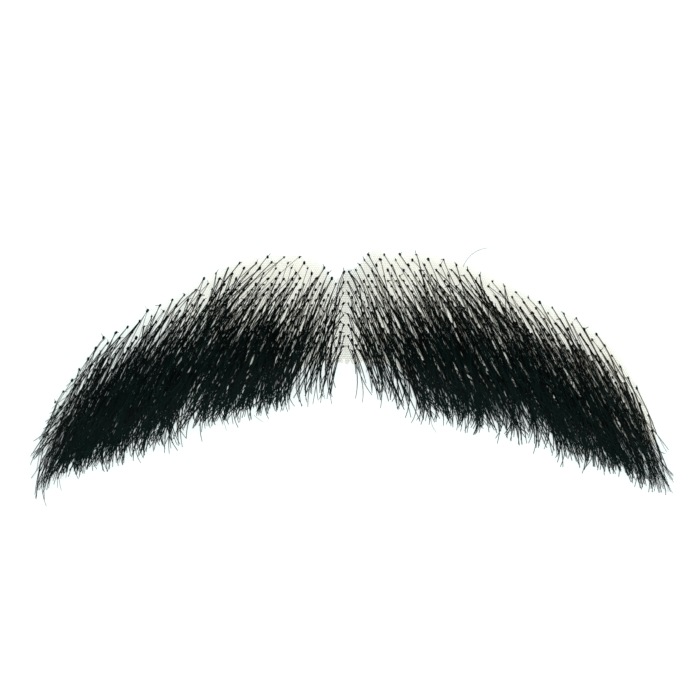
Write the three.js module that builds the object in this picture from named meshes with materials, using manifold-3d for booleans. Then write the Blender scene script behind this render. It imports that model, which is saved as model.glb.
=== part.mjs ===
// False moustache: hair knotted by hand, row by row, through a fine lace net.
// Millimetres, +Z up. It lies on its skin side, as it is kept when it isn't worn:
// X runs across the lip, +Y points to the nose, and Z points away from the face.

import * as THREE from "three";
import { mergeVertices } from "three/addons/utils/BufferGeometryUtils.js";
import Module from "manifold-3d";

const wasm = await Module();
wasm.setup();

// Driving dimensions

const LACE_THICKNESS = 1.0;
const LACE_STEPS = 26; // along each wing's edge and hem
const LACE_END_HEIGHT = 3.0; // where the lace is cut off square, near a wing's tip
const SEAT_GAP = 0.3; // between the lace and the hair that is tied to it
const HAIR_FLOOR = LACE_THICKNESS + SEAT_GAP;
const PARTING = 1.0; // from the middle line to the first locks of each wing
const TIP_CLEAR = 4.0; // from the last locks' roots to a wing's tip
const LIP_MIDDLE = 12.0; // height of the lace's middle under the nose, in the tables below

// One row for each station of a wing, from the parting under the nose out to the tip:
// out     distance from the middle line
// edge    the lace's upper edge
// hem     the lace's lower edge, which the hair covers
// fringe  where the hair ends
// crown   how high the hair piles up above the lace
// lean    degrees that a hair leans outwards at its root
// hang    degrees that it leans at its tip
const LEFT_STATIONS = [
  { out: 0.0, edge: 20.6, hem: 3.0, fringe: -2.6, crown: 1.8, lean: 14, hang: 8 },
  { out: 2.3, edge: 18.4, hem: 2.9, fringe: -4.2, crown: 2.4, lean: 16, hang: 8 },
  { out: 5.0, edge: 21.6, hem: 2.7, fringe: -4.9, crown: 3.2, lean: 20, hang: 10 },
  { out: 9.0, edge: 23.9, hem: 2.1, fringe: -5.6, crown: 4.3, lean: 23, hang: 16 },
  { out: 20.0, edge: 23.3, hem: 0.2, fringe: -8.8, crown: 5.6, lean: 29, hang: 23 },
  { out: 31.0, edge: 18.0, hem: -2.8, fringe: -11.8, crown: 5.8, lean: 30, hang: 24 },
  { out: 40.0, edge: 12.6, hem: -5.8, fringe: -15.4, crown: 5.4, lean: 29, hang: 24 },
  { out: 48.5, edge: 7.2, hem: -9.0, fringe: -18.2, crown: 4.8, lean: 27, hang: 22 },
  { out: 56.0, edge: -1.2, hem: -11.8, fringe: -20.8, crown: 3.6, lean: 25, hang: 15 },
  { out: 61.6, edge: -16.0, hem: -14.6, fringe: -23.8, crown: 2.0, lean: 22, hang: 8 },
];
const RIGHT_STATIONS = [
  { out: 0.0, edge: 20.6, hem: 3.0, fringe: -2.0, crown: 1.8, lean: 16, hang: 10 },
  { out: 2.4, edge: 21.2, hem: 2.9, fringe: -3.4, crown: 2.4, lean: 20, hang: 12 },
  { out: 5.0, edge: 24.1, hem: 2.7, fringe: -5.4, crown: 3.2, lean: 22, hang: 13 },
  { out: 9.0, edge: 24.4, hem: 2.1, fringe: -6.0, crown: 4.3, lean: 25, hang: 16 },
  { out: 20.0, edge: 23.2, hem: 0.0, fringe: -9.4, crown: 5.6, lean: 28, hang: 18 },
  { out: 31.0, edge: 18.8, hem: -3.0, fringe: -12.3, crown: 5.8, lean: 29, hang: 22 },
  { out: 40.0, edge: 13.6, hem: -5.8, fringe: -15.0, crown: 5.4, lean: 30, hang: 23 },
  { out: 48.5, edge: 9.2, hem: -9.0, fringe: -18.6, crown: 4.8, lean: 31, hang: 22 },
  { out: 57.0, edge: 0.0, hem: -12.2, fringe: -21.0, crown: 3.6, lean: 28, hang: 18 },
  { out: 64.6, edge: -18.0, hem: -15.4, fringe: -24.4, crown: 2.0, lean: 22, hang: 12 },
];

// The pile of hair from the lace's upper edge (down 0) to the fringe (down 1), as a share of the
// crown. Past the hem the hair droops to the table, so its end lies below the lace's top.
const PILE = [
  { down: 0.0, share: 0.03 },
  { down: 0.15, share: 0.28 },
  { down: 0.35, share: 0.76 },
  { down: 0.55, share: 1.0 },
  { down: 0.75, share: 0.84 },
  { down: 0.9, share: 0.4 },
  { down: 1.0, share: -0.1 },
];

// Layers of locks, from the lowest to the one that lies on top:
// root     where the locks start, as a share of the way down the wing
// reach    how long they are, unless they meet the fringe first
// past     how far their tips pass the fringe
// width    across a lock's widest place
// thick    through its thickest place
// pitch    from one lock to the next
const LAYERS = [
  { root: 0.56, reach: 22, past: 0.3, width: 3.2, thick: 1.7, pitch: 3.1 },
  { root: 0.34, reach: 17, past: -1.4, width: 4.6, thick: 1.9, pitch: 5.2 },
  { root: 0.05, reach: 15, past: -3.0, width: 3.6, thick: 1.5, pitch: 3.9 },
];

// A lock from its knotted root to its tip: shares of its length, width and thickness.
const LOCK_FORM = [
  { along: 0.0, width: 0.17, thick: 0.4 },
  { along: 0.2, width: 0.6, thick: 0.8 },
  { along: 0.48, width: 1.0, thick: 1.0 },
  { along: 0.78, width: 0.7, thick: 0.72 },
  { along: 1.0, width: 0.06, thick: 0.16 },
];

// A lock's section: a ridge above and a keel below, in shares of its width and thickness.
const LOCK_SECTION = [
  { across: -0.5, up: -0.05 },
  { across: 0.0, up: -0.5 },
  { across: 0.5, up: -0.05 },
  { across: 0.22, up: 0.5 },
  { across: -0.22, up: 0.5 },
];

// How far neighbouring locks differ: shares of the way down and of the width, degrees, and length.
const VARY = { root: 0.05, width: 0.3, lean: 6, hang: 6, tip: 1.6 };

// The dense hair under the locks
const BACKING_STEPS = 14; // sections from the parting to the tip
const BACKING_DOWNS = [0.1, 0.22, 0.36, 0.52, 0.68, 0.82, 0.93];
const BACKING_START = PARTING + 1.0;
const BACKING_REACH = 0.97; // share of the wing's length
const BACKING_SINK = 0.9; // below the top of the locks that lie on it
const BACKING_LEAST = 0.35; // its thickness where it runs out
const UNDERSIDE_LOW = 0.4; // how near to the table the hair's underside comes
const HEM_CLEAR = 0.8; // past the hem, before the underside turns down

// Reading the tables

const { clamp, degToRad, lerp } = THREE.MathUtils;

/** A smooth curve through one column of a table, read by another column. */
function curveOf(table, by, column) {
  const places = table.map((row) => row[by]);
  const values = table.map((row) => row[column]);
  const smooth = new THREE.CubicInterpolant(places, values, 1);
  return (at) => smooth.evaluate(clamp(at, places[0], places.at(-1)))[0];
}

/** A wing's columns as functions of the distance from the middle line. */
function wingOf(stations) {
  const columns = ["edge", "hem", "fringe", "crown", "lean", "hang"];
  const wing = Object.fromEntries(columns.map((name) => [name, curveOf(stations, "out", name)]));
  wing.tip = stations.at(-1).out;
  wing.yAt = (out, down) => lerp(wing.edge(out), wing.fringe(out), down);
  wing.downAt = (out, y) => (wing.edge(out) - y) / (wing.edge(out) - wing.fringe(out));
  return wing;
}

const pileShare = curveOf(PILE, "down", "share");

/** The top of the pile of hair at a place on a wing. */
const pileTop = (wing, out, down) => HAIR_FLOOR + wing.crown(out) * pileShare(down);

/** The hair's underside: flat on the lace, then down towards the table past its hem. */
function underside(wing, out, y) {
  const turn = wing.hem(out) - HEM_CLEAR;
  const share = clamp((turn - y) / (turn - wing.fringe(out)), 0, 1);
  return lerp(HAIR_FLOOR, UNDERSIDE_LOW, share);
}

/** A fixed scatter from -0.5 to 0.5 that keeps neighbouring locks from looking alike. */
function scatter(index, salt) {
  const wave = Math.sin(index * 12.9898 + salt * 78.233) * 43758.5453;
  return wave - Math.floor(wave) - 0.5;
}

// Shapes

/** A closed skin over rings of equally many points, with flat ends. */
function loft(rings) {
  const sides = rings[0].length;
  const points = rings.flat().flatMap((point) => point.toArray());
  const faces = [];
  for (let ring = 0; ring + 1 < rings.length; ring++) {
    for (let side = 0; side < sides; side++) {
      const a = ring * sides + side;
      const b = ring * sides + ((side + 1) % sides);
      faces.push(a, b, b + sides, a, b + sides, a + sides);
    }
  }
  const end = (rings.length - 1) * sides;
  for (let side = 1; side + 1 < sides; side++) {
    faces.push(0, side + 1, side, end, end + side, end + side + 1);
  }
  const skin = new THREE.BufferGeometry();
  skin.setAttribute("position", new THREE.Float32BufferAttribute(points, 3));
  return skin.setIndex(faces);
}

/** A geometry as a solid that can be joined to others. */
function solidOf(geometry) {
  const merged = mergeVertices(geometry);
  const vertProperties = merged.getAttribute("position").array;
  const triVerts = new Uint32Array(merged.index.array);
  return new wasm.Manifold(new wasm.Mesh({ numProp: 3, vertProperties, triVerts }));
}

/** A solid as a geometry. */
function geometryOf(solid) {
  const { vertProperties, triVerts } = solid.getMesh();
  const geometry = new THREE.BufferGeometry();
  geometry.setAttribute("position", new THREE.BufferAttribute(vertProperties, 3));
  geometry.setIndex(new THREE.BufferAttribute(triVerts, 1));
  geometry.computeVertexNormals();
  return geometry;
}

// Lace

/** Points along a column of a wing, from the middle line to where the lace is cut off. */
function laceLine(wing, column, side) {
  let end = wing.tip;
  while (wing.edge(end) - wing.hem(end) < LACE_END_HEIGHT) end -= 0.1;
  return Array.from({ length: LACE_STEPS + 1 }, (_, step) => {
    const out = (end * step) / LACE_STEPS;
    return new THREE.Vector2(side * out, wing[column](out));
  });
}

/** The sheet of net: both wings' edges and hems as one outline. */
function laceGeometry(left, right) {
  const outline = [
    ...laceLine(left, "hem", -1).reverse(),
    ...laceLine(right, "hem", 1).slice(1),
    ...laceLine(right, "edge", 1).reverse(),
    ...laceLine(left, "edge", -1).slice(1),
  ];
  const sheet = new THREE.Shape(outline);
  return new THREE.ExtrudeGeometry(sheet, { depth: LACE_THICKNESS, bevelEnabled: false });
}

// Hair, built for a wing that runs out along +X

/** The dense hair under the locks, as one low cushion that carries them. */
function backing(wing) {
  const rings = [];
  for (let step = 0; step <= BACKING_STEPS; step++) {
    const out = lerp(BACKING_START, wing.tip * BACKING_REACH, step / BACKING_STEPS);
    const top = [];
    const bottom = [];
    for (const down of BACKING_DOWNS) {
      const y = wing.yAt(out, down);
      const low = underside(wing, out, y);
      const high = Math.max(pileTop(wing, out, down) - BACKING_SINK, low + BACKING_LEAST);
      top.push(new THREE.Vector3(out, y, high));
      bottom.push(new THREE.Vector3(out, y, low));
    }
    rings.push([...top, ...bottom.reverse()]);
  }
  return loft(rings);
}

/** One lock of hair: it starts at a knot, lies along the pile and tapers to a point. */
function lock(wing, layer, start, index) {
  const y0 = wing.yAt(start, layer.root + VARY.root * scatter(index, 1));
  const lean = degToRad(wing.lean(start) + VARY.lean * scatter(index, 2));
  const hang = degToRad(wing.hang(start) + VARY.hang * scatter(index, 3));
  const mean = (lean + hang) / 2;
  const landing = start + Math.tan(mean) * (y0 - wing.fringe(start));
  const drop = y0 - wing.fringe(landing) + layer.past + VARY.tip * scatter(index, 4);
  const length = Math.min(layer.reach, drop / Math.cos(mean));
  const width = layer.width * (1 + VARY.width * scatter(index, 5));
  const place = new THREE.Vector2(start, y0);
  let walked = 0;
  const rings = LOCK_FORM.map((form) => {
    const turn = lerp(lean, hang, form.along);
    const ahead = new THREE.Vector2(Math.sin(turn), -Math.cos(turn));
    place.addScaledVector(ahead, (form.along - walked) * length);
    walked = form.along;
    const thick = layer.thick * form.thick;
    const low = underside(wing, place.x, place.y) + thick / 2;
    const high = pileTop(wing, place.x, wing.downAt(place.x, place.y)) - thick / 2;
    const height = Math.max(low, high);
    return LOCK_SECTION.map(({ across, up }) => {
      const aside = across * form.width * width;
      const [x, y] = [place.x - ahead.y * aside, place.y + ahead.x * aside];
      return new THREE.Vector3(x, y, height + up * thick);
    });
  });
  return loft(rings);
}

/** All the hair of a wing, joined into one solid. */
function wingGeometry(wing) {
  const solids = [solidOf(backing(wing))];
  for (const layer of LAYERS) {
    for (let start = PARTING; start < wing.tip - TIP_CLEAR; start += layer.pitch) {
      solids.push(solidOf(lock(wing, layer, start, solids.length)));
    }
  }
  // Pockets that the locks close between them are filled: only the outer skin is kept.
  const skins = wasm.Manifold.union(solids).decompose();
  const [outer] = skins.sort((a, b) => b.volume() - a.volume());
  return geometryOf(outer);
}

// Materials

const netThread = new THREE.MeshStandardMaterial({ color: 0xe4dfd2, roughness: 0.7, metalness: 0 });
const blackHair = new THREE.MeshStandardMaterial({ color: 0x0d1412, roughness: 0.45, metalness: 0 });

// Assembly

const leftWing = wingOf(LEFT_STATIONS);
const rightWing = wingOf(RIGHT_STATIONS);

const lace = new THREE.Mesh(laceGeometry(leftWing, rightWing), netThread);
lace.name = "lace_base";

const leftHair = new THREE.Mesh(wingGeometry(leftWing), blackHair);
leftHair.name = "left_wing";
leftHair.scale.x = -1;

const rightHair = new THREE.Mesh(wingGeometry(rightWing), blackHair);
rightHair.name = "right_wing";

// The origin is on the skin side, in the middle of the lace under the nose.
const moustache = new THREE.Group();
moustache.add(lace, leftHair, rightHair);
moustache.position.y = -LIP_MIDDLE;

export default moustache;
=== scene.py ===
"""False moustache of black hair, knotted by hand on a fine lace net, dressed around its solids."""

import logging
import math
from collections.abc import Callable
from dataclasses import dataclass, field
from enum import Enum
from typing import NamedTuple

import bpy
import numpy as np
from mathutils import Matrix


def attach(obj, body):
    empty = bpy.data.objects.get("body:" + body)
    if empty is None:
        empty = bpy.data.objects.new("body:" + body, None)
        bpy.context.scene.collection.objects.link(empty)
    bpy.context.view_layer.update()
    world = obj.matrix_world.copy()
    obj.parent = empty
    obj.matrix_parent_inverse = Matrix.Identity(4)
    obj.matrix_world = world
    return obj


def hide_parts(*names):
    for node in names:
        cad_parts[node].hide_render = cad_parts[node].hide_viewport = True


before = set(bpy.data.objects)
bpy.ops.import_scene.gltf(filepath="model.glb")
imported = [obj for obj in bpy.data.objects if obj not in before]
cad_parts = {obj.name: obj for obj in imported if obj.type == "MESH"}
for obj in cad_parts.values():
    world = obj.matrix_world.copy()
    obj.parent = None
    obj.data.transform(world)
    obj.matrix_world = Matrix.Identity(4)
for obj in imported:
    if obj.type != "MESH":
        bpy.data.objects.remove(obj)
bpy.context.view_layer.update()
log = logging.getLogger("moustache")

MM = 0.001
BODY = "root"
LIP_MIDDLE = 12.0  # height in the tables below, in mm, of the mount that the frame starts from
BAKE_MAP = "OFBake"  # the UV map that holds a hair's own shade and the way along it

Array = np.ndarray
Curve = Callable[[Array], Array]
Span = tuple[float, float]
Colour = tuple[float, float, float, float]
Socket = bpy.types.NodeSocket


class Side(Enum):
    """The two wings, with the way that each runs along X."""

    LEFT = -1
    RIGHT = 1


class Station(NamedTuple):
    """One section of a wing, from the parting out to the tip, in millimetres and degrees."""

    out: float  # distance from the middle line
    edge: float  # the lace's upper edge
    hem: float  # the lace's lower edge, under the hair
    fringe: float  # where the hair ends
    crown: float  # how high the hair piles up above the lace
    lean: float  # how far a hair leans outwards at its root
    hang: float  # how far it leans at its tip
    top: float  # hairs to a square millimetre in the top rows
    mid: float  # the same half way down
    low: float  # the same in the lowest rows


LEFT_STATIONS = (
    Station(0.0, 20.6, 3.0, -2.6, 1.8, 25, 10, 0.45, 0.80, 0.80),
    Station(2.0, 18.6, 2.9, -4.6, 2.4, 23, 8, 0.90, 0.90, 0.70),
    Station(5.0, 21.7, 2.7, -4.9, 3.2, 25, 11, 0.45, 1.00, 0.40),
    Station(9.0, 23.3, 2.1, -5.9, 4.3, 26, 17, 0.34, 1.14, 0.95),
    Station(14.0, 23.3, 1.2, -7.3, 5.1, 27, 20, 0.36, 1.22, 1.80),
    Station(20.0, 22.6, 0.2, -8.1, 5.6, 29, 23, 0.52, 1.24, 2.10),
    Station(25.5, 20.3, -1.3, -9.9, 5.7, 30, 24, 0.64, 1.40, 2.00),
    Station(31.0, 17.4, -2.8, -12.1, 5.8, 30, 24, 0.56, 1.60, 2.30),
    Station(36.0, 14.6, -4.4, -14.9, 5.6, 29, 24, 0.58, 1.75, 2.40),
    Station(40.0, 12.2, -5.8, -15.8, 5.4, 28, 23, 0.62, 2.00, 2.70),
    Station(48.5, 6.9, -9.0, -18.5, 4.8, 26, 21, 0.46, 1.95, 4.40),
    Station(52.0, 3.5, -10.4, -18.9, 4.3, 25, 22, 0.36, 1.65, 5.80),
    Station(56.0, -1.3, -11.8, -20.5, 3.6, 24, 23, 0.30, 0.80, 3.60),
    Station(61.6, -16.0, -14.6, -25.2, 2.0, 24, 24, 0.30, 0.50, 1.00),
)
RIGHT_STATIONS = (
    Station(0.0, 20.6, 3.0, -2.0, 1.8, 25, 12, 0.45, 0.85, 0.80),
    Station(2.4, 21.5, 2.9, -5.4, 2.4, 25, 11, 0.40, 0.85, 1.00),
    Station(5.0, 24.2, 2.7, -5.0, 3.2, 26, 17, 0.34, 0.72, 0.60),
    Station(9.0, 23.9, 2.1, -6.8, 4.3, 26, 17, 0.30, 0.82, 0.90),
    Station(14.0, 23.9, 1.1, -8.7, 5.1, 27, 17, 0.31, 0.96, 1.55),
    Station(20.0, 22.9, 0.0, -9.5, 5.6, 28, 18, 0.40, 1.10, 1.90),
    Station(31.0, 18.5, -3.0, -12.0, 5.8, 29, 22, 0.44, 1.32, 1.90),
    Station(40.0, 13.6, -5.8, -14.9, 5.4, 29, 23, 0.46, 1.30, 2.00),
    Station(48.5, 9.2, -9.0, -18.8, 4.8, 28, 22, 0.42, 1.14, 2.30),
    Station(52.5, 5.7, -10.5, -19.3, 4.3, 26, 21, 0.33, 1.12, 3.00),
    Station(57.0, -0.3, -12.2, -20.8, 3.6, 23, 20, 0.30, 1.10, 3.50),
    Station(64.6, -18.0, -15.4, -24.6, 2.0, 19, 19, 0.30, 0.30, 1.40),
)
# Out and y of one knot in each wing's top row, in mm
FIRST_KNOTS = {Side.LEFT: (9.2, 22.9), Side.RIGHT: (4.4, 23.5)}
SEEDS = {Side.LEFT: 75, Side.RIGHT: 41}  # starts of the wings' random numbers


class Feathering(NamedTuple):
    """The hairs at a wing's outer end that stick out of its outline instead of following it."""

    share: float
    spread: float  # how much further out they lean at most, in degrees
    below: float  # height in the tables of the highest of their knots, in millimetres
    give: float  # share of what any other hair would stick out that is left to it


FEATHERED = {Side.LEFT: Feathering(0.34, 28, 0.0, 0.3), Side.RIGHT: Feathering(0.26, 20, -7.0, 0.12)}


class PileRow(NamedTuple):
    """The pile of hair at a share of the way down a wing, as a share of the crown."""

    down: float
    share: float


PILE = (
    PileRow(0.0, 0.03),
    PileRow(0.15, 0.28),
    PileRow(0.35, 0.76),
    PileRow(0.55, 1.0),
    PileRow(0.75, 0.84),
    PileRow(0.9, 0.4),
    PileRow(1.0, -0.1),
)


class ThinPatch(NamedTuple):
    """An oval where part of the hair stops short, in millimetres."""

    out: float
    y: float
    width: float  # half of it
    height: float  # half of it
    stopped: float  # share of the hairs that end there


THIN_PATCHES = {
    Side.LEFT: (
        ThinPatch(28.8, -2.6, 1.6, 2.2, 0.5),
        ThinPatch(31.6, -9.4, 2.2, 2.6, 0.6),
    ),
    Side.RIGHT: (ThinPatch(32.6, -7.4, 3.8, 3.4, 0.5),),
}


class Slit(NamedTuple):
    """A narrow slit where the hairs part and the lace shows between them, in millimetres and degrees."""

    out: float
    y: float
    lean: float
    width: float  # half of it
    length: float  # half of it


SLITS = {
    Side.LEFT: (
        Slit(26.0, -1.2, 27, 0.15, 1.8),
        Slit(19.5, -1.0, 26, 0.18, 2.0),
        Slit(31.8, -0.9, 30, 0.16, 2.0),
        Slit(32.4, 0.6, 28, 0.13, 1.8),
        Slit(39.2, -8.0, 26, 0.13, 1.8),
        Slit(51.0, -12.0, 26, 0.15, 1.6),
    ),
    Side.RIGHT: (
        Slit(22.4, -0.4, 24, 0.20, 2.8),
        Slit(24.4, -0.6, 24, 0.26, 2.6),
        Slit(28.2, 0.0, 25, 0.20, 3.6),
        Slit(30.0, 4.4, 26, 0.18, 3.2),
        Slit(33.0, -1.2, 28, 0.20, 2.6),
        Slit(37.4, -4.6, 24, 0.18, 2.8),
        Slit(41.4, -5.0, 28, 0.20, 3.4),
        Slit(45.0, -2.0, 30, 0.25, 3.4),
        Slit(48.6, -8.4, 25, 0.20, 2.2),
        Slit(54.6, -10.6, 28, 0.22, 2.6),
    ),
}


class Tangle(NamedTuple):
    """A place where some of the knots' hairs lie across the others, in millimetres and degrees."""

    out: float
    y: float
    radius: float
    turn: float  # how much further they lean
    share: float  # of the knots at its middle


TANGLES = {
    Side.LEFT: (
        Tangle(15.0, 21.6, 2.6, 18, 0.8),
        Tangle(19.6, 18.4, 2.4, 14, 0.6),
    ),
    Side.RIGHT: (Tangle(27.0, 17.5, 3.5, 9, 0.4),),
}


class LooseHair(NamedTuple):
    """A single hair that has sprung out of its place, in millimetres and degrees."""

    out: float
    y: float
    height: float
    length: float
    lean: float  # its way at the start: 0 is straight down, 90 is outwards
    hang: float  # its way at the end


LOOSE_HAIRS = {
    Side.LEFT: (
        LooseHair(24.6, -8.8, 0.5, 3.2, -8, -22),
        LooseHair(18.4, -8.6, 0.5, 2.4, -46, -60),
    ),
    Side.RIGHT: (
        LooseHair(23.4, 21.0, 0.9, 6.6, 160, 95),
        LooseHair(17.0, -9.0, 0.5, 3.4, -4, 44),
    ),
}


def curve_through(places: Array, values: Array) -> Curve:
    """Make a smooth curve through points.

    Args:
        places: rising places along the curve.
        values: the curve's value at each place.

    Returns:
        A function that reads the curve, held at its ends.
    """
    slopes = np.gradient(values, places)

    def read(at: Array) -> Array:
        """Read the curve.

        Args:
            at: places along it.

        Returns:
            Its values there.
        """
        at = np.clip(at, places[0], places[-1])
        i = np.clip(np.searchsorted(places, at) - 1, 0, len(places) - 2)
        width = places[i + 1] - places[i]
        t = (at - places[i]) / width
        start = (1 + 2 * t) * (1 - t) ** 2 * values[i] + t * (1 - t) ** 2 * width * slopes[i]
        end = t * t * (3 - 2 * t) * values[i + 1] + t * t * (t - 1) * width * slopes[i + 1]
        return start + end

    return read


def smooth_step(low: float, high: float, at: Array) -> Array:
    """Rise smoothly from 0 at low to 1 at high."""
    t = np.clip((at - low) / (high - low), 0, 1)
    return t * t * (3 - 2 * t)


def srgb(code: str) -> Colour:
    """Turn a colour of the sRGB standard into a linear one.

    Args:
        code: its hex code, such as "1a2b3c".

    Returns:
        Linear red, green, blue and alpha.
    """
    parts = [int(code[i : i + 2], 16) / 255 for i in (0, 2, 4)]
    linear = [p / 12.92 if p <= 0.04045 else ((p + 0.055) / 1.055) ** 2.4 for p in parts]
    return (*linear, 1.0)


@dataclass
class Shader:
    """A material, and the nodes that it is put together from."""

    name: str
    material: bpy.types.Material = field(init=False)

    def __post_init__(self) -> None:
        """Make the material, without nodes."""
        self.material = bpy.data.materials.new(self.name)
        self.material.use_nodes = True
        self.material.node_tree.nodes.clear()

    def add(self, kind: str, inputs: dict[str, object]) -> bpy.types.Node:
        """Add a node.

        Args:
            kind: the node's type.
            inputs: for its sockets and properties, by name, a value or the socket that feeds it.

        Returns:
            The node.
        """
        tree = self.material.node_tree
        node = tree.nodes.new(f"ShaderNode{kind}")
        for name, value in inputs.items():
            if isinstance(value, Socket):
                tree.links.new(value, node.inputs[name])
            elif name in node.inputs:
                node.inputs[name].default_value = value
            else:
                setattr(node, name, value)
        return node

    def mix(self, share: Socket, first: Socket | Colour, second: Colour) -> Socket:
        """Mix two colours, with a share of the second."""
        inputs = {"data_type": "RGBA", "Factor": share, "A": first, "B": second}
        return self.add("Mix", inputs).outputs["Result"]

    def ramp(self, value: Socket, ends: dict[str, object]) -> Socket:
        """Map a value from one range to another."""
        return self.add("MapRange", {"Value": value, **ends}).outputs["Result"]

    def surface(self, inputs: dict[str, object]) -> bpy.types.Material:
        """Finish the material with its surface.

        Args:
            inputs: the surface's inputs by name.

        Returns:
            The material.
        """
        skin = self.add("BsdfPrincipled", inputs)
        self.add("OutputMaterial", {"Surface": skin.outputs["BSDF"]})
        return self.material


@dataclass(frozen=True)
class HairFinish:
    """Black human hair: a smooth keratin skin that is dark with a cool cast and hardly any gloss; its tips
    are paler, with a teal cast that is painted sheen.
    """

    name: str = "black_human_hair"
    dark: str = "030605"
    cool: str = "0a1110"
    # paler tip colour, partly the hair's own and partly painted teal sheen
    tip: str = "0e2522"
    tip_start: float = 0.6  # share of the way along a hair where its tip's colour sets in
    tip_share: float = 0.85  # how much of that colour its end has
    ior: float = 1.55
    gloss: float = 0.05
    smooth: float = 0.3  # roughness at the root
    rough: float = 0.52  # roughness at the tip

    def material(self) -> bpy.types.Material:
        """Build the material: each hair has its own shade, and its tip is a little paler and drier, with a
        painted teal sheen.

        Returns:
            The material.
        """
        shader = Shader(self.name)
        place = shader.add("UVMap", {"uv_map": BAKE_MAP})
        part = shader.add("SeparateXYZ", {"Vector": place.outputs["UV"]})
        shade, along = part.outputs["X"], part.outputs["Y"]
        body = shader.mix(shade, srgb(self.dark), srgb(self.cool))
        ends = shader.ramp(along, {"From Min": self.tip_start, "To Max": self.tip_share})
        skin = {
            # Painted sheen: the tips' paler teal partly stands in for the light that the hair's sheen gives
            "Base Color": shader.mix(ends, body, srgb(self.tip)),
            "Roughness": shader.ramp(along, {"To Min": self.smooth, "To Max": self.rough}),
            "IOR": self.ior,
            "Specular IOR Level": self.gloss,
        }
        return shader.surface(skin)


@dataclass(frozen=True)
class LaceFinish:
    """Wig lace: a net of fine cream nylon, matt, greyer by the parting, and painted paler at the left end to
    stand for brighter light there.
    """

    name: str = "nylon_wig_lace"
    pale: str = "f8ead6"
    warm: str = "ecdcc4"
    parting_grey: str = "c6b8a5"
    # painted light: the near-white that the lace is painted towards its left end
    painted_light: str = "fdfcf8"
    parting_grey_mm: float = 9.0  # how far from the parting it turns greyer
    parting_grey_share: float = 0.8  # how much of that colour the parting has
    painted_light_mm: Span = (-20.0, -46.0)  # x where the painted light starts to pale it, and where it is palest
    patch_mm: float = 5.0  # size of the patches of tint
    fibre_mm: float = 0.25  # size of the fibres in a thread
    fibre_detail: float = 3.0
    bump: float = 0.4
    bump_mm: float = 0.02
    roughness: float = 0.6
    ior: float = 1.53

    def material(self) -> bpy.types.Material:
        """Build the material: soft patches of tint, greyer at the parting, painted light paling the left
        end, and fibres along the threads.

        Returns:
            The material.
        """
        shader = Shader(self.name)
        place = shader.add("TexCoord", {}).outputs["Object"]
        across = shader.add("SeparateXYZ", {"Vector": place}).outputs["X"]
        # Greyer towards the parting
        away = shader.add("Math", {"operation": "ABSOLUTE", "Value": across}).outputs["Value"]
        near = {"From Max": self.parting_grey_mm * MM, "To Min": self.parting_grey_share, "To Max": 0.0}
        parting_greying = shader.ramp(away, {**near, "interpolation_type": "SMOOTHSTEP"})
        patches = shader.add("TexNoise", {"Vector": place, "Scale": 1 / (self.patch_mm * MM)})
        tint = shader.mix(patches.outputs["Fac"], srgb(self.pale), srgb(self.warm))
        # Painted light: the lace is painted paler towards the left end, standing in for brighter light and
        # less hair shade there
        start, end = self.painted_light_mm
        painted_light_share = shader.ramp(across, {"From Min": start * MM, "From Max": end * MM})
        painted_light_tint = shader.mix(painted_light_share, tint, srgb(self.painted_light))
        grain = {"Scale": 1 / (self.fibre_mm * MM), "Detail": self.fibre_detail}
        fibres = shader.add("TexNoise", {"Vector": place, **grain})
        relief = {"Strength": self.bump, "Distance": self.bump_mm * MM}
        bump = shader.add("Bump", {"Height": fibres.outputs["Fac"], **relief})
        thread = {
            "Base Color": shader.mix(parting_greying, painted_light_tint, srgb(self.parting_grey)),
            "Normal": bump.outputs["Normal"],
            "Roughness": self.roughness,
            "IOR": self.ior,
        }
        return shader.surface(thread)


def add_mesh(name: str, points: Array, faces: list[list[int]]) -> bpy.types.Object:
    """Add a mesh made from arrays.

    Args:
        name: the piece's name.
        points: vertices in metres, in the frame.
        faces: vertex numbers of each face.

    Returns:
        The piece's object.
    """
    mesh = bpy.data.meshes.new(name)
    mesh.from_pydata(points.tolist(), [], faces)
    mesh.shade_smooth()
    piece = bpy.data.objects.new(name, mesh)
    bpy.context.scene.collection.objects.link(piece)
    return piece


def add_map(piece: bpy.types.Object, corners: Array) -> None:
    """Give a piece its own UV map.

    Args:
        piece: the piece.
        corners: u and v of each face corner, in the order of the faces.
    """
    layer = piece.data.uv_layers.new(name=BAKE_MAP)
    layer.uv.foreach_set("vector", corners.astype(np.float32).ravel())


def hold(piece: bpy.types.Object, finish: bpy.types.Material, node: str) -> None:
    """Give a piece its material, its body and the solid that it stands for.

    Args:
        piece: the piece.
        finish: its material.
        node: the solid that it replaces.
    """
    piece.data.materials.append(finish)
    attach(piece, BODY)
    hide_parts(node)
    log.info("%s: %d faces", piece.name, len(piece.data.polygons))


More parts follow.
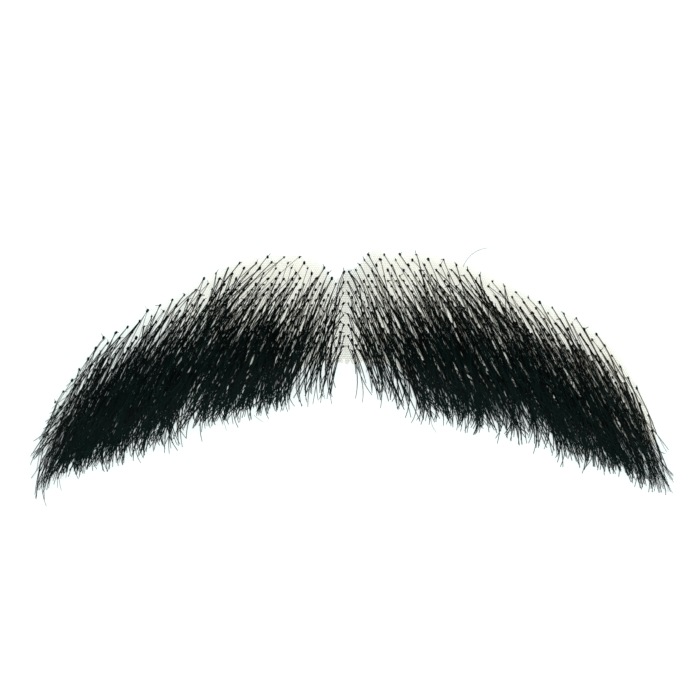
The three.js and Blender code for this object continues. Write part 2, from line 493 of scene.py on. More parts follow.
@dataclass
class Wing:
    """The shape of one wing, read from its stations."""

    side: Side
    stations: tuple[Station, ...]
    floor: float = 0.75  # where the hair leaves its knots, above the table
    low: float = 0.25  # how near to the table the ends of the hair come
    seat: float = 1.3  # the pile's height is counted from here
    lace_end: float = 3.0  # the lace's height where its outer end is cut off
    mid_rows: Span = (1.5, 6.5)  # depths where the top rows end and the middle ones start
    low_rows: Span = (9.5, 17.0)  # depths where the middle rows end and the lowest start
    full_height: float = 16.0  # where the lace is less high than this, those depths shrink with it
    shrunk: float = 0.3  # the least share that they shrink to
    least: float = 1.0  # the least height of hair that a share of the way down is taken of
    curves: dict[str, Curve] = field(init=False)

    def __post_init__(self) -> None:
        """Make a curve of each column."""
        table = np.array(self.stations)
        columns = {name: table[:, i] for i, name in enumerate(Station._fields)}
        self.curves = {name: curve_through(columns["out"], columns[name]) for name in Station._fields[1:]}
        pile = np.array(PILE)
        self.curves["pile"] = curve_through(pile[:, 0], pile[:, 1])

    @property
    def name(self) -> str:
        """The wing's name in plain words."""
        return self.side.name.lower()

    @property
    def tip(self) -> float:
        """How far out the wing goes."""
        return self.stations[-1].out

    def read(self, column: str, out: Array) -> Array:
        """Read a column of the stations at distances from the middle line."""
        return self.curves[column](out)

    def near_tip(self, span: Span, out: Array) -> Array:
        """Rise smoothly from 0 to 1 between two distances from the tip."""
        return smooth_step(self.tip - span[0], self.tip - span[1], out)

    def depth(self, out: Array, y: Array) -> Array:
        """Find how far below the lace's edge places are."""
        return self.read("edge", out) - y

    def top(self, out: Array, y: Array) -> Array:
        """Find the top of the pile of hair."""
        height = np.maximum(self.read("edge", out) - self.read("fringe", out), self.least)
        return self.seat + self.read("crown", out) * self.curves["pile"](self.depth(out, y) / height)

    def bottom(self, out: Array, y: Array) -> Array:
        """Find the underside of the hair: level on the lace, then down to the table past its hem.

        Args:
            out: the places' distances from the middle line.
            y: their heights in the tables.

        Returns:
            The height above the table at each place.
        """
        hem, fringe = self.read("hem", out), self.read("fringe", out)
        share = np.clip((hem - y) / np.maximum(hem - fringe, self.least), 0, 1)
        return self.floor + (self.low - self.floor) * share

    def on_lace(self, out: Array, y: Array, inside: float, above: float | Array) -> Array:
        """Say which places lie on the lace.

        Args:
            out: the places' distances from the middle line.
            y: their heights in the tables.
            inside: how far inside the upper edge they have to be.
            above: how far above the hem they have to be.

        Returns:
            True for each place on the lace.
        """
        edge, hem = self.read("edge", out), self.read("hem", out)
        return (y <= edge - inside) & (y >= hem + above) & (edge - hem >= self.lace_end)

    def fill(self, out: Array, y: Array) -> Array:
        """Find how many hairs are knotted to a square millimetre of lace.

        Args:
            out: the places' distances from the middle line.
            y: their heights in the tables.

        Returns:
            The number at each place.
        """
        depth = self.depth(out, y)
        top, mid, low = (self.read(name, out) for name in ("top", "mid", "low"))
        tall = np.clip((self.read("edge", out) - self.read("hem", out)) / self.full_height, self.shrunk, 1)
        first = smooth_step(*self.mid_rows, depth / tall)
        second = smooth_step(*self.low_rows, depth / tall)
        return top + (mid - top) * first + (low - mid) * second

    def place(self, points: Array) -> Array:
        """Turn points given as out, y and height in mm into the frame's metres."""
        turned = points * np.array([self.side.value, 1.0, 1.0]) - np.array([0.0, LIP_MIDDLE, 0.0])
        return turned * MM


@dataclass
class Fibres:
    """Many thin tubes in one mesh: hairs, or the threads of a net."""

    paths: Array  # fibre, point, coordinate
    radii: Array  # fibre, point
    sides: int
    shades: Array | None = None  # the fibres' own shades, where they have a map
    map_width: float = 0.004  # width of a side in the map

    def build(self, name: str) -> bpy.types.Object:
        """Join the fibres into one mesh.

        Args:
            name: the piece's name.

        Returns:
            The piece.
        """
        count, steps, _ = self.paths.shape
        ahead = np.gradient(self.paths, axis=1)
        ahead /= np.linalg.norm(ahead, axis=2, keepdims=True)
        across = np.cross(ahead, np.array([0.0, 0.0, 1.0]))
        across /= np.linalg.norm(across, axis=2, keepdims=True)
        above = np.cross(across, ahead)
        turn = 2 * math.pi * np.arange(self.sides) / self.sides + math.pi / 2
        ring = (
            across[:, :, None] * np.cos(turn)[None, None, :, None]
            + above[:, :, None] * np.sin(turn)[None, None, :, None]
        )
        points = self.paths[:, :, None] + self.radii[:, :, None, None] * ring
        numbers = np.arange(count * steps * self.sides).reshape(count, steps, self.sides)
        after = np.roll(numbers, -1, axis=2)
        walls = np.stack([numbers[:, :-1], numbers[:, 1:], after[:, 1:], after[:, :-1]], axis=-1)
        ends = np.stack([numbers[:, 0], numbers[:, -1, ::-1]], axis=1)
        faces = walls.reshape(-1, 4).tolist() + ends.reshape(-1, self.sides).tolist()
        piece = add_mesh(name, points.reshape(-1, 3), faces)
        if self.shades is not None:
            add_map(piece, self.corners(walls.shape))
        return piece

    def corners(self, shape: tuple[int, ...]) -> Array:
        """Lay each fibre in its map: its shade across, and the way from root to tip along.

        Args:
            shape: fibres, steps, sides and corners of the walls.

        Returns:
            u and v of each face corner, the walls' first and then the ends'.
        """
        along = np.linspace(0, 1, shape[1] + 1)
        u = (np.arange(shape[2])[:, None] + np.array([0, 0, 1, 1])) * self.map_width
        u = np.broadcast_to(u, shape) + self.shades[:, None, None, None]
        v = np.stack([along[:-1], along[1:], along[1:], along[:-1]], axis=-1)
        v = np.broadcast_to(v[None, :, None, :], shape)
        walls = np.stack([u, v], axis=-1).reshape(-1, 2)
        turn = 2 * math.pi * np.arange(self.sides) / self.sides
        disc = np.stack([np.cos(turn), np.sin(turn)], axis=-1) * self.map_width / 2
        spots = [[shade, end] for shade in self.shades for end in (self.map_width, 1 - self.map_width)]
        ends = np.array(spots)[:, None, :] + disc
        return np.concatenate([walls, ends.reshape(-1, 2)])


# Corners of one mesh, in thirds of its width and of the row pitch
MESH_CORNERS = ((0, 2), (-1.5, 1), (-1.5, -1), (0, -2), (1.5, -1), (1.5, 1))


@dataclass
class LaceNet:
    """One wing's half of the net that the hair is knotted to: six-sided meshes cut to the outline."""

    wing: Wing
    mesh_width: float = 0.42  # across one mesh
    row_pitch: float = 0.364  # from one row of meshes to the next
    thread: float = 0.06  # half the threads' thickness
    sides: int = 3  # of a thread
    margin: float = 0.3  # how far inside the lace's edge the outer meshes have their middles
    fray: float = 1.4  # how far the cut lower edge runs out into ragged meshes
    height: float = 0.2  # the net's middle above the table
    ripple: float = 0.05  # height of its waves
    ripple_x: Span = (0.31, 0.9)  # radians to a millimetre across, and at the middle line
    ripple_y: Span = (0.43, 0.2)  # the same upwards
    swell: Span = (0.17, -0.37)  # radians to a millimetre of a slanting wave, across and upwards
    slack: float = 0.05  # how far a node lies from its even place
    rim_share: float = 0.55  # share of the thread's thickness at the cut edge
    rim_depth: float = 2.5  # how far inside the edge it is full

    def build(self, finish: bpy.types.Material, seed: int) -> bpy.types.Object:
        """Model the net.

        Args:
            finish: the lace's material.
            seed: start of the frayed edge's random numbers.

        Returns:
            The piece.
        """
        rng = np.random.default_rng(seed)
        centres = self.centres(rng)
        corner = np.array(MESH_CORNERS) * np.array([self.mesh_width / 3, self.row_pitch / 3])
        points = (centres[:, None] + corner).reshape(-1, 2)
        _, first, shared = np.unique(np.round(points, 3), axis=0, return_index=True, return_inverse=True)
        nodes = self.settle(points[first] + rng.uniform(-self.slack, self.slack, (len(first), 2)))
        rim = shared.reshape(-1, len(MESH_CORNERS))
        pairs = np.stack([rim, np.roll(rim, -1, axis=1)], axis=-1).reshape(-1, 2)
        threads = np.unique(np.sort(pairs, axis=1), axis=0)
        paths = self.wing.place(nodes[threads])
        within = smooth_step(0.0, self.rim_depth, self.wing.depth(nodes[:, 0], nodes[:, 1]))
        radii = (self.thread * MM * (self.rim_share + (1 - self.rim_share) * within))[threads]
        net = Fibres(paths, radii, self.sides).build(f"{self.wing.name}_lace_net")
        hold(net, finish, "lace_base")
        return net

    def centres(self, rng: np.random.Generator) -> Array:
        """Find the middles of the meshes that lie within the outline.

        Args:
            rng: random numbers for the frayed edge.

        Returns:
            out and y of each, in millimetres.
        """
        columns = int(self.wing.tip / self.mesh_width) + 1
        rows = int(self.wing.tip / self.row_pitch)
        i, j = np.meshgrid(np.arange(columns), np.arange(-rows, rows + 1))
        out = (i + 0.5 * (j % 2)) * self.mesh_width
        y = j * self.row_pitch
        ragged = self.fray * rng.random(columns)[i]
        kept = self.wing.on_lace(out, y, self.margin, -ragged)
        if self.wing.side is Side.LEFT:
            kept &= out > 0
        return np.column_stack([out[kept], y[kept]])

    def settle(self, flat: Array) -> Array:
        """Lay the net's nodes on the table with slight ripples.

        Args:
            flat: out and y of each node, in millimetres.

        Returns:
            out, y and height of each.
        """
        x, y = flat[:, 0] * self.wing.side.value, flat[:, 1]
        wave = np.sin(self.ripple_x[0] * x + self.ripple_x[1])
        wave *= np.sin(self.ripple_y[0] * y + self.ripple_y[1])
        wave += np.sin(self.swell[0] * x + self.swell[1] * y)
        return np.column_stack([flat, self.height + self.ripple * wave])


@dataclass
class KnotRows:
    """The knots of one wing, in slanting rows on the net, with a straight column beside the parting."""

    wing: Wing
    start: Span  # out and y of one knot in the top row
    pitch: float = 3.2  # from one knot to the next in a row
    row_pitch: float = 1.07
    row_shift: float = 0.8  # how much nearer to the middle each row starts than the one above
    close_depth: float = 4.5  # from here down, a row has twice as many knots
    parting_out: float = 0.47
    parting_top: float = 20.0
    parting_pitch: float = 2.14
    parting_knots: int = 8
    margin: float = 0.05  # from the lace's edge to the outermost knots
    hem_margin: float = 0.45
    first_out: float = 0.9  # no other knot comes nearer to the parting than this
    scatter: float = 0.09  # how far a knot lies from its even place
    width: float = 0.5
    length: float = 0.63
    height: float = 0.4
    rise: float = 0.5  # the knots' middles above the table
    sizes: Span = (0.65, 1.15)  # share of that size which a knot has
    growth: float = 0.05  # what each of its hairs adds to the share
    counted: int = 6  # the most hairs that add to it
    twist: float = 14.0  # how far knots are turned from their hairs' way, in degrees
    bead: tuple[int, int] = (8, 6)  # sides and rings of a knot's mesh
    waist: float = 0.72  # share of its thickness that its middle ring has
    near: float = 0.05  # that ring lies within this of its middle
    palest: float = 0.6  # the palest knot's shade
    map_start: float = 0.05  # the way along that a knot has in the map
    map_size: float = 0.02

    def places(self, rng: np.random.Generator) -> Array:
        """Find the knots.

        Args:
            rng: the wing's own random numbers.

        Returns:
            out and y of each knot, in millimetres.
        """
        reach = int(self.wing.tip / self.row_pitch)
        half = self.pitch / 2
        i, j = np.meshgrid(np.arange(-reach, reach), np.arange(reach))
        out = self.start[0] + i * half - j * self.row_shift
        y = self.start[1] - j * self.row_pitch
        kept = self.wing.on_lace(out, y, self.margin, self.hem_margin) & (out > self.first_out)
        kept &= (i % 2 == 0) | (self.wing.depth(out, y) > self.close_depth)
        column = self.parting_top - self.parting_pitch * np.arange(self.parting_knots)
        beside = np.column_stack([np.full_like(column, self.parting_out), column])
        knots = np.concatenate([beside, np.column_stack([out[kept], y[kept]])])
        return knots + rng.uniform(-self.scatter, self.scatter, knots.shape)

    def room(self, knots: Array) -> Array:
        """Find the lace that each knot has to itself, in square millimetres."""
        close = self.wing.depth(knots[:, 0], knots[:, 1]) > self.close_depth
        return self.pitch * self.row_pitch * np.where(close, 0.5, 1.0)

    def pattern(self) -> tuple[Array, Array]:
        """Model one knot: a small bead with a waist, where the hair is drawn tight round the thread.

        Returns:
            Its points for a bead one unit long, and its triangles.
        """
        bpy.ops.object.select_all(action="DESELECT")
        bpy.ops.mesh.primitive_uv_sphere_add(segments=self.bead[0], ring_count=self.bead[1], radius=0.5)
        bead = bpy.context.object
        bpy.ops.object.mode_set(mode="EDIT")
        bpy.ops.mesh.select_all(action="DESELECT")
        bpy.ops.object.mode_set(mode="OBJECT")
        for vertex in bead.data.vertices:
            vertex.select = abs(vertex.co.z) < self.near
        bpy.ops.object.mode_set(mode="EDIT")
        bpy.ops.transform.resize(value=(self.waist, self.waist, 1.0))
        bpy.ops.mesh.select_all(action="SELECT")
        bpy.ops.mesh.quads_convert_to_tris()
        bpy.ops.object.mode_set(mode="OBJECT")
        points = np.array([vertex.co for vertex in bead.data.vertices])
        faces = np.array([polygon.vertices for polygon in bead.data.polygons])
        bpy.data.objects.remove(bead)
        # The triangles come in no fixed order, so each is started at its first point and they are sorted
        start = np.argmin(faces, axis=1)[:, None]
        faces = np.take_along_axis(faces, (start + np.arange(3)) % 3, axis=1)
        faces = faces[np.lexsort(faces.T[::-1])]
        return points[:, [0, 2, 1]] * np.array([1.0, 1.0, -1.0]), faces

    def build(self, knots: Array, hairs: Array, rng: np.random.Generator) -> bpy.types.Object:
        """Copy the knot to every place.

        Args:
            knots: out and y of each knot.
            hairs: how many hairs each holds.
            rng: the wing's own random numbers.

        Returns:
            The piece.
        """
        points, faces = self.pattern()
        if self.wing.side is Side.LEFT:
            faces = faces[:, ::-1]
        sizes = np.array([self.width, self.length, self.height])
        count = len(knots)
        scale = rng.uniform(*self.sizes, count) + self.growth * np.minimum(hairs, self.counted)
        turn = np.radians(self.wing.read("lean", knots[:, 0]) + rng.normal(0, self.twist, count))
        bead = points * sizes * scale[:, None, None]
        out = bead[..., 0] * np.cos(turn)[:, None] - bead[..., 1] * np.sin(turn)[:, None]
        y = bead[..., 0] * np.sin(turn)[:, None] + bead[..., 1] * np.cos(turn)[:, None]
        placed = np.stack([knots[:, :1] + out, knots[:, 1:] + y, self.rise + bead[..., 2]], axis=-1)
        every = (faces[None] + np.arange(count)[:, None, None] * len(points)).reshape(-1, 3)
        piece = add_mesh(f"{self.wing.name}_knots", self.wing.place(placed.reshape(-1, 3)), every.tolist())
        laid = points[faces] * self.map_size
        shade = rng.uniform(0, self.palest, count)[:, None, None] + laid[..., 0]
        along = np.broadcast_to(self.map_start + laid[..., 1], shade.shape)
        add_map(piece, np.stack([shade, along], axis=-1).reshape(-1, 2))
        return piece


@dataclass(frozen=True)
class Thickness:
    """How thick the hairs are, in shares of the usual, and where that changes, in millimetres."""

    usual: float = 0.155  # in millimetres
    knot: Span = (0.48, 1.08)  # what a knot's hairs have in common
    even: Span = (4, 10)  # depths from which the knots are alike
    hair: Span = (0.55, 1.0)  # what tells the hairs of one knot apart
    lowest: float = 1.12  # what that comes to in the lowest rows
    low_rows: Span = (9, 15)  # depths where those start
    top_rows: Span = (5, 2)  # depths above which a knot's hairs are alike
    parting: Span = (4, 2)  # distances from the middle line within which they are alike
    own: Span = (0.85, 1.15)  # what each hair has besides
    taper: float = 0.35  # what its tip loses
    taper_start: float = 0.7  # share of the way along where that starts
    knot_end: float = 0.8  # a knot's short end, beside its hairs
    loose: float = 0.4  # a loose hair


@dataclass(frozen=True)
class Lie:
    """How unevenly the hairs lie, in degrees, with spans of millimetres in which that changes."""

    knot: float = 7.5  # lean from knot to knot
    most: Span = (-22, 15)  # its limits
    calm: Span = (0.35, 0.6)  # how much less at the parting, and at the tip
    calm_parting: Span = (6, 2)
    calm_end: Span = (26, 12)  # from the tip
    stray: float = 0.08  # share of the upper knots that have gone astray
    stray_end: Span = (22, 30)  # from the tip
    stray_rows: Span = (11, 7)  # depths
    stray_turn: Span = (8, 14)  # how much further those lean, and how unevenly
    stray_most: float = 24
    hair: Span = (5.2, 2.2)  # lean from hair to hair, and how much less lower down
    hair_rows: Span = (4, 11)  # depths
    hair_end: float = 0.5  # how much less at the outer end
    hang: float = 3.5
    flick: float = 18  # how far the tips turn aside
    flick_rows: tuple[float, float, float] = (0.5, 0.5, 0.9)  # top rows' share, and what lower ones add
    flick_mid: Span = (3, 8)  # depths
    flick_low: Span = (10, 22)  # depths
    flick_most: float = 50
    flick_late: float = 2.5  # how late along the hair a tip turns
    flick_wild: float = 0.4  # share for the feathered hairs
    inner: float = 8  # nearer to the middle line than this, tips turn less
    inner_most: Span = (-16, 24)
    wave: float = 2.8
    waves: Span = (3, 7)  # radians of wave along a hair
    wave_start: float = 6.3  # radians at most
    root: float = 0.05  # how far apart a knot's hairs start
    grown: float = 0.1  # length from knot to knot, as a share
    loft: Span = (0.72, 1.0)  # share of the pile that a knot's hairs rise to
    lift: float = 0.05  # the same from hair to hair
    pile: float = 0.15  # least height of the pile


@dataclass
class WingHair:
    """The hair of one wing: every knot holds one or more hairs, and upper rows lie over lower ones."""

    wing: Wing
    rows: KnotRows
    rng: np.random.Generator  # the wing's own random numbers
    thick: Thickness = Thickness()
    lie: Lie = Lie()
    reach: float = 16.0  # a hair's length where the fringe doesn't end it first
    uneven: Span = (0.06, 2)  # how much it differs, as a share, and how much more at the outer end
    shortest: float = 1.2
    steps: int = 12  # pieces of each tube
    sides: int = 4
    shades: Span = (1.6, 3.0)  # how the shades are spread
    palest: float = 0.95
    parting_reach: Span = (5.0, 11.0)  # length beside the parting, and of the lowest hairs there
    parting_low: float = 8.0  # height in the tables where the lowest ones start
    tail_share: float = 0.75  # knots that keep a short end
    tail_reach: float = 0.8
    tail_sizes: Span = (0.4, 1.3)  # share of that length
    tail_turn: float = 55.0  # how far an end turns from its hair's way, in degrees
    tail_rise: float = 0.25  # how steeply it rises
    tail_points: int = 4
    end: Span = (18, 6)  # from the tip, where the outer end starts and is full
    end_rows: Span = (9, 3)  # depths of its short hairs
    end_reach: float = 0.62  # their length, as a share of the usual
    inner: Span = (11, 4)  # from the middle line, where the fringe by the parting starts and is full
    ragged: Span = (1.3, 4.4)  # how unevenly the fringe ends, and how much more by the parting
    longest: Span = (1.2, 1.4)  # how far its longest hairs pass it, and how much more there
    stop: float = 3.0  # how far into a thin patch hairs reach
    stick_out: float = 1.9  # how far a feathered hair sticks out freely
    over: Span = (0.8, 0.2)  # how far it runs over the outline: the spread, and the least
    looked: tuple[float, int] = (1.0, 31)  # where along it that is looked for first, and how often
    combed: float = 16.0  # length of the outer end that is combed
    traced: int = 60  # points of its outline
    inside: Span = (-0.5, 0.35)  # where its hairs lie beside the outline, and how unevenly
    parted: float = 2.0  # how hard the slits push
    tufts: int = 40
    tuft_gap: Span = (1.0, 3.4)  # from one tuft of the fringe to the next
    tuft_pull: float = 0.34  # how far the tightest tuft's ends are drawn together
    tuft_rise: Span = (6.0, 2.0)  # heights above the fringe where ends are drawn in
    tuft_start: float = 0.4  # share of the way along where a hair turns to its tuft

    def build(self, finish: bpy.types.Material) -> list[bpy.types.Object]:
        """Model the wing's knots and hair.

        Args:
            finish: the hair's material.

        Returns:
            The pieces.
        """
        rng, wing, thick = self.rng, self.wing, self.thick
        knots = self.rows.places(rng)
        wanted = wing.fill(knots[:, 0], knots[:, 1]) * self.rows.room(knots)
        hairs = np.maximum(np.floor(wanted + rng.random(len(knots))), 1).astype(int)
        pieces = [self.rows.build(knots, hairs, rng)]
        owner = np.repeat(np.arange(len(knots)), hairs)
        depth = wing.depth(knots[:, 0], knots[:, 1])
        fine = rng.uniform(*thick.knot, len(knots))
        fine += (1 - fine) * smooth_step(*thick.even, depth)
        long = self.hairs(knots, owner)
        thin = rng.uniform(*thick.hair, len(owner))
        thin += (thick.lowest - thin) * smooth_step(*thick.low_rows, depth[owner])
        thin += (1 - thin) * smooth_step(*thick.top_rows, depth[owner])
        thin += (1 - thin) * smooth_step(*thick.parting, knots[owner, 0])
        upper = depth[owner] < np.median(depth[owner])
        for part, chosen in {"upper_hair": upper, "lower_hair": ~upper}.items():
            pieces.append(self.tubes(part, long[chosen], (fine[owner] * thin)[chosen]))
        pieces.append(self.tubes("knot_ends", *self.tails(knots, fine)))
        loose = self.loose()
        pieces.append(self.tubes("loose_hair", loose, np.full(len(loose), thick.loose)))
        for piece in pieces:
            hold(piece, finish, f"{wing.name}_wing")
        return pieces

    def tubes(self, part: str, paths: Array, fine: Array) -> bpy.types.Object:
        """Give hairs their thickness and shade, and model them.

        Args:
            part: the piece's name after the wing's.
            paths: out, y and height of each hair's points, in millimetres.
            fine: each hair's thickness, as a share of the usual.

        Returns:
            The piece.
        """
        count, thick = len(paths), self.thick
        along = np.linspace(0, 1, paths.shape[1])
        taper = 1 - thick.taper * smooth_step(thick.taper_start, 1.0, along)
        radii = thick.usual / 2 * MM * (fine * self.rng.uniform(*thick.own, count))[:, None] * taper
        shades = np.clip(self.rng.beta(*self.shades, count), 0, self.palest)
        return Fibres(self.wing.place(paths), radii, self.sides, shades).build(f"{self.wing.name}_{part}")

    def walk(self, roots: Array, length: Array, angle: Array) -> tuple[Array, Array]:
        """Follow hairs from their roots.

        Args:
            roots: out and y of each root.
            length: each hair's length.
            angle: each hair's way at its points, in radians.

        Returns:
            out and y of the points.
        """
        step = (length / (angle.shape[1] - 1))[:, None]
        middle = (angle[:, :-1] + angle[:, 1:]) / 2
        zero = np.zeros((len(roots), 1))
        out = roots[:, :1] + np.hstack([zero, np.cumsum(np.sin(middle) * step, axis=1)])
        y = roots[:, 1:] - np.hstack([zero, np.cumsum(np.cos(middle) * step, axis=1)])
        return out, y

    def ways(self, knots: Array) -> Array:
        """Find which way the hairs of each knot lean.

        Args:
            knots: out and y of each knot.

        Returns:
            The leans, in degrees.
        """
        rng, wing, lie = self.rng, self.wing, self.lie
        total, out, y = len(knots), knots[:, 0], knots[:, 1]
        calm = 1 - lie.calm[0] * smooth_step(*lie.calm_parting, out)
        calm *= 1 - lie.calm[1] * wing.near_tip(lie.calm_end, out)
        usual = wing.read("lean", out)
        way = usual + rng.normal(0, lie.knot, total) * calm
        chance = lie.stray * wing.near_tip(lie.stray_end, out)
        stray = rng.random(total) < chance * smooth_step(*lie.stray_rows, wing.depth(out, y))
        turn = np.clip(rng.normal(*lie.stray_turn, total), -lie.stray_most, lie.stray_most)
        way += np.where(stray, turn, 0)
        for tangle in TANGLES[wing.side]:
            apart = np.hypot(out - tangle.out, y - tangle.y) / tangle.radius
            crossed = rng.random(total) < tangle.share * np.exp(-(apart**2))
            way += crossed * tangle.turn
        return np.clip(way, usual + lie.most[0], usual + lie.most[1])

    def hairs(self, knots: Array, owner: Array) -> Array:
        """Lay out every hair of the wing.

        Args:
            knots: out and y of each knot.
            owner: the number of each hair's knot.

        Returns:
            out, y and height of the points of each hair.
        """
        rng, wing, lie = self.rng, self.wing, self.lie
        way = self.ways(knots)
        loft = rng.uniform(*lie.loft, len(knots))
        grown = rng.normal(1, lie.grown, len(knots))
        count = len(owner)
        roots = knots[owner] + rng.normal(0, lie.root, (count, 2))
        depth = wing.depth(knots[:, 0], knots[:, 1])[owner]
        outer = wing.near_tip(self.end, knots[:, 0])[owner]
        feathered = FEATHERED[wing.side]
        wild = (rng.random(count) < feathered.share * outer) & (roots[:, 1] < feathered.below)
        apart = (lie.hair[0] - lie.hair[1] * smooth_step(*lie.hair_rows, depth)) * (1 - lie.hair_end * outer)
        lean = way[owner] + rng.normal(0, 1, count) * apart + wild * rng.uniform(0, feathered.spread, count)
        turn = wing.read("hang", roots[:, 0]) - wing.read("lean", roots[:, 0])
        hang = lean + turn + rng.normal(0, lie.hang, count)
        top, mid, low = lie.flick_rows
        share = top + mid * smooth_step(*lie.flick_mid, depth) + low * smooth_step(*lie.flick_low, depth)
        flick = np.clip(rng.normal(0, lie.flick, count) * share, -lie.flick_most, lie.flick_most)
        flick = np.where(roots[:, 0] < lie.inner, np.clip(flick, *lie.inner_most), flick)
        flick *= np.where(wild, lie.flick_wild, 1.0)
        middle = np.radians((lean + hang) / 2)
        length = self.lengths(roots, middle, grown[owner])
        length = np.where(wild, np.minimum(length, self.outline(roots, middle)), length)
        along = np.linspace(0, 1, self.steps + 1)
        wave = along * rng.uniform(*lie.waves, (count, 1)) + rng.uniform(0, lie.wave_start, (count, 1))
        bend = (hang - lean)[:, None] * along + flick[:, None] * along**lie.flick_late
        angle = np.radians(lean[:, None] + bend + rng.normal(0, lie.wave, (count, 1)) * np.sin(wave))
        out, y = self.walk(roots, length, angle)
        out, y = self.part(self.gather(out, y, along), y)
        out = self.comb(out, y, np.where(wild, self.stick_out, 0))
        level = np.clip(along * length[:, None] / self.reach, 0, 1)
        level *= (loft[owner] + rng.normal(0, lie.lift, count))[:, None]
        bottom = wing.bottom(out, y)
        height = bottom + level * np.maximum(wing.top(out, y) - bottom, lie.pile)
        return np.stack([out, y, height], axis=-1)

    def gather(self, out: Array, y: Array, along: Array) -> Array:
        """Draw the hairs that reach the fringe together into small tufts.

        Args:
            out: the hairs' distances from the middle line, point by point.
            y: their heights in the tables.
            along: the share of the way along a hair at its points.

        Returns:
            The new distances from the middle line.
        """
        middles = np.cumsum(self.rng.uniform(*self.tuft_gap, self.tufts))
        ends = out[:, -1]
        near = middles[np.argmin(np.abs(ends[:, None] - middles), axis=1)]
        low = smooth_step(*self.tuft_rise, y[:, -1] - self.wing.read("fringe", ends))
        tight = self.tuft_pull * self.rng.random(len(middles))[np.searchsorted(middles, near)]
        pull = tight * low * (near - ends)
        return out + pull[:, None] * smooth_step(self.tuft_start, 1.0, along)

    def part(self, out: Array, y: Array) -> tuple[Array, Array]:
        """Push the hairs aside at the slits.

        Args:
            out: the hairs' distances from the middle line, point by point.
            y: their heights in the tables.

        Returns:
            The new distances and heights.
        """
        for slit in SLITS[self.wing.side]:
            turn = math.radians(slit.lean)
            right, up = out - slit.out, y - slit.y
            along = right * math.sin(turn) - up * math.cos(turn)
            across = right * math.cos(turn) + up * math.sin(turn)
            push = slit.width * np.exp(-np.abs(across) / slit.width - (along / slit.length) ** 2)
            push *= np.where(across < 0, -self.parted, self.parted)
            out, y = out + push * math.cos(turn), y + push * math.sin(turn)
        return out, y

    def comb(self, out: Array, y: Array, spare: Array) -> Array:
        """Lay the hairs of the outer end along its outline.

        Args:
            out: the hairs' distances from the middle line, point by point.
            y: their heights in the tables.
            spare: how far each hair may stick out freely.

        Returns:
            The new distances from the middle line.
        """
        line = np.linspace(self.wing.tip - self.combed, self.wing.tip, self.traced)
        limit = np.interp(-y, -self.wing.read("edge", line), line)
        limit += self.rng.normal(*self.inside, (len(out), 1)) + spare[:, None]
        return out - (1 - FEATHERED[self.wing.side].give) * np.maximum(out - limit, 0)

    def outline(self, roots: Array, lean: Array) -> Array:
        """Find how far from its root each hair runs out over the edge of the wing's outer end.

        Args:
            roots: out and y of each hair's knot.
            lean: the hair's mean lean, in radians.

        Returns:
            The distances, in millimetres, without end where a hair stays inside.
        """
        first, times = self.looked
        walked = np.linspace(first, self.reach, times)
        out = roots[:, :1] + np.sin(lean)[:, None] * walked
        y = roots[:, 1:] - np.cos(lean)[:, None] * walked
        spare = np.abs(self.rng.normal(0, self.over[0], (len(roots), 1))) + self.over[1]
        gone = (out > self.wing.tip + spare) | (y > self.wing.read("edge", out) + spare)
        return np.where(gone.any(axis=1), walked[np.argmax(gone, axis=1)], np.inf)

    def lengths(self, roots: Array, lean: Array, grown: Array) -> Array:
        """Find how long each hair is.

        Args:
            roots: out and y of each hair's knot.
            lean: the hair's mean lean, in radians.
            grown: how long its knot's hairs are, as a share of the usual.

        Returns:
            The lengths, in millimetres.
        """
        count = len(roots)
        rng, wing = self.rng, self.wing
        drop = roots[:, 1] - wing.read("fringe", roots[:, 0])
        landing = roots[:, 0] + np.tan(lean) * drop
        inner = smooth_step(*self.inner, landing)
        short = np.abs(rng.normal(0, 1, count)) * (self.ragged[0] + self.ragged[1] * inner)
        passed = self.longest[0] + self.longest[1] * inner
        drop = roots[:, 1] - wing.read("fringe", landing) - short + passed
        beside = np.where(roots[:, 1] < self.parting_low, self.parting_reach[1], self.parting_reach[0])
        reach = np.where(roots[:, 0] < 2 * self.rows.parting_out, beside, self.reach)
        outer = wing.near_tip(self.end, roots[:, 0])
        outer = outer * smooth_step(*self.end_rows, wing.depth(roots[:, 0], roots[:, 1]))
        reach = reach * (1 - (1 - self.end_reach) * outer)
        free = reach * (grown + rng.normal(0, self.uneven[0], count) * (1 + self.uneven[1] * outer))
        length = np.minimum(free, drop / np.cos(lean))
        for patch in THIN_PATCHES[wing.side]:
            entry = self.entry(roots, lean, patch) + rng.uniform(0.0, self.stop, count)
            length = np.where(rng.random(count) < patch.stopped, np.minimum(length, entry), length)
        return np.maximum(length, self.shortest)

    def entry(self, roots: Array, lean: Array, patch: ThinPatch) -> Array:
        """Find how far from its root each hair runs into a thin patch.

        Args:
            roots: out and y of each hair's knot.
            lean: the hair's mean lean, in radians.
            patch: the patch.

        Returns:
            The distances, in millimetres, without end where a hair passes by.
        """
        size = np.array([patch.width, patch.height])
        start = (roots - np.array([patch.out, patch.y])) / size
        way = np.column_stack([np.sin(lean), -np.cos(lean)]) / size
        square = np.sum(way * way, axis=1)
        toward = -np.sum(start * way, axis=1)
        root = toward**2 - square * (np.sum(start * start, axis=1) - 1)
        met = (root > 0) & (toward > 0)
        return np.where(met, (toward - np.sqrt(np.maximum(root, 0))) / square, np.inf)

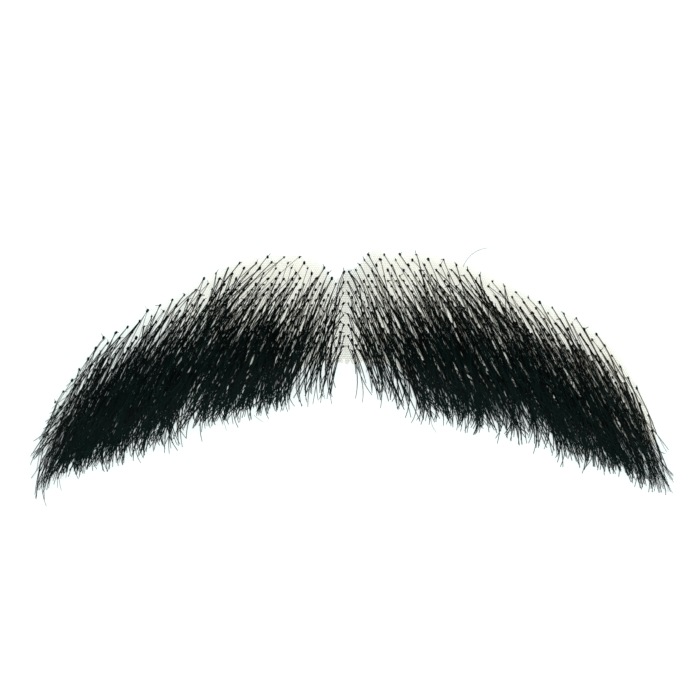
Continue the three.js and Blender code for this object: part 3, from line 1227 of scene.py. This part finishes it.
    def tails(self, knots: Array, fine: Array) -> tuple[Array, Array]:
        """Lay out the short ends that stand out of some knots.

        Args:
            knots: out and y of each knot.
            fine: the thickness of each knot's hairs, as a share of the usual.

        Returns:
            out, y and height of the points of each end, and its thickness.
        """
        kept = self.rng.random(len(knots)) < self.tail_share
        chosen = knots[kept]
        count = len(chosen)
        turn = self.rng.normal(0, self.tail_turn, count)
        way = np.radians(180 + self.wing.read("lean", chosen[:, 0]) + turn)[:, None]
        length = self.tail_reach * self.rng.uniform(*self.tail_sizes, (count, 1))
        along = np.linspace(0, 1, self.tail_points) * length
        out = chosen[:, :1] + np.sin(way) * along
        y = chosen[:, 1:] - np.cos(way) * along
        height = self.rows.rise + self.tail_rise * along
        return np.stack([out, y, height], axis=-1), fine[kept] * self.thick.knot_end

    def loose(self) -> Array:
        """Lay out the single hairs that have sprung out of their place.

        Returns:
            out, y and height of the points of each.
        """
        table = np.array(LOOSE_HAIRS[self.wing.side])
        start, length, lean, hang = table[:, :2], table[:, 3], table[:, 4:5], table[:, 5:]
        along = np.linspace(0, 1, 2 * self.steps)
        out, y = self.walk(start, length, np.radians(lean + (hang - lean) * along))
        height = table[:, 2:3] + (self.wing.low - table[:, 2:3]) * along
        return np.stack([out, y, height], axis=-1)


@dataclass
class Studio:
    """The white table, the soft light and the camera that looks straight down."""

    frame_width: float = 140.0  # what the picture spans, in mm
    centre: Span = (0.8, -7.6)  # the picture's middle in the frame, in mm
    lens: float = 120.0
    sensor: float = 36.0
    clip: Span = (0.01, 10.0)  # the nearest and the furthest that is seen, in metres
    table_size: float = 3.0
    card: str = "f7f7f7"
    card_roughness: float = 0.9
    card_gloss: float = 0.1
    surround: str = "e9efec"
    surround_strength: float = 0.5
    lamp_place: tuple[float, float, float] = (0.02, 0.03, 0.9)
    lamp_size: float = 0.1
    lamp_power: float = 6.6
    lamp_colour: str = "f4ffff"

    def build(self) -> None:
        """Make the table, the lights and the camera."""
        self.table()
        self.lights()
        self.camera()

    def table(self) -> None:
        """Make the table: matt white card."""
        bpy.ops.object.select_all(action="DESELECT")
        bpy.ops.mesh.primitive_plane_add(size=self.table_size, location=(0, 0, 0))
        table = bpy.context.object
        table.name = "table"
        card = {
            "Base Color": srgb(self.card),
            "Roughness": self.card_roughness,
            "Specular IOR Level": self.card_gloss,
        }
        table.data.materials.append(Shader("matt_white_card").surface(card))

    def lights(self) -> None:
        """Make an even, faintly cool surround and one lamp above."""
        scene = bpy.context.scene
        world = bpy.data.worlds.new("surround")
        world.use_nodes = True
        ground = world.node_tree.nodes["Background"]
        ground.inputs["Color"].default_value = srgb(self.surround)
        ground.inputs["Strength"].default_value = self.surround_strength
        scene.world = world
        scene.view_settings.view_transform = "Standard"
        bpy.ops.object.light_add(type="AREA", location=self.lamp_place)
        lamp = bpy.context.object
        lamp.name = "softbox"
        lamp.data.size = self.lamp_size
        lamp.data.energy = self.lamp_power
        lamp.data.color = srgb(self.lamp_colour)[:3]
        lamp.rotation_euler = (-lamp.location).to_track_quat("-Z", "Y").to_euler()

    def camera(self) -> None:
        """Look straight down, as the photograph does."""
        distance = self.frame_width * self.lens / self.sensor
        x, y = self.centre
        bpy.ops.object.camera_add(location=(x * MM, y * MM, distance * MM), rotation=(0, 0, 0))
        camera = bpy.context.object
        camera.data.lens = self.lens
        camera.data.sensor_width = self.sensor
        camera.data.clip_start, camera.data.clip_end = self.clip
        bpy.context.scene.camera = camera


def main() -> None:
    """Build the moustache and its studio, piece by piece."""
    logging.basicConfig(level=logging.INFO, format="%(name)s: %(message)s")
    Studio().build()
    left, right = Wing(Side.LEFT, LEFT_STATIONS), Wing(Side.RIGHT, RIGHT_STATIONS)
    lace, hair = LaceFinish().material(), HairFinish().material()
    for wing in (left, right):
        seed = SEEDS[wing.side]
        LaceNet(wing).build(lace, seed)
        rows = KnotRows(wing, FIRST_KNOTS[wing.side])
        WingHair(wing, rows, np.random.default_rng(seed)).build(hair)


if __name__ == "__main__":
    main()
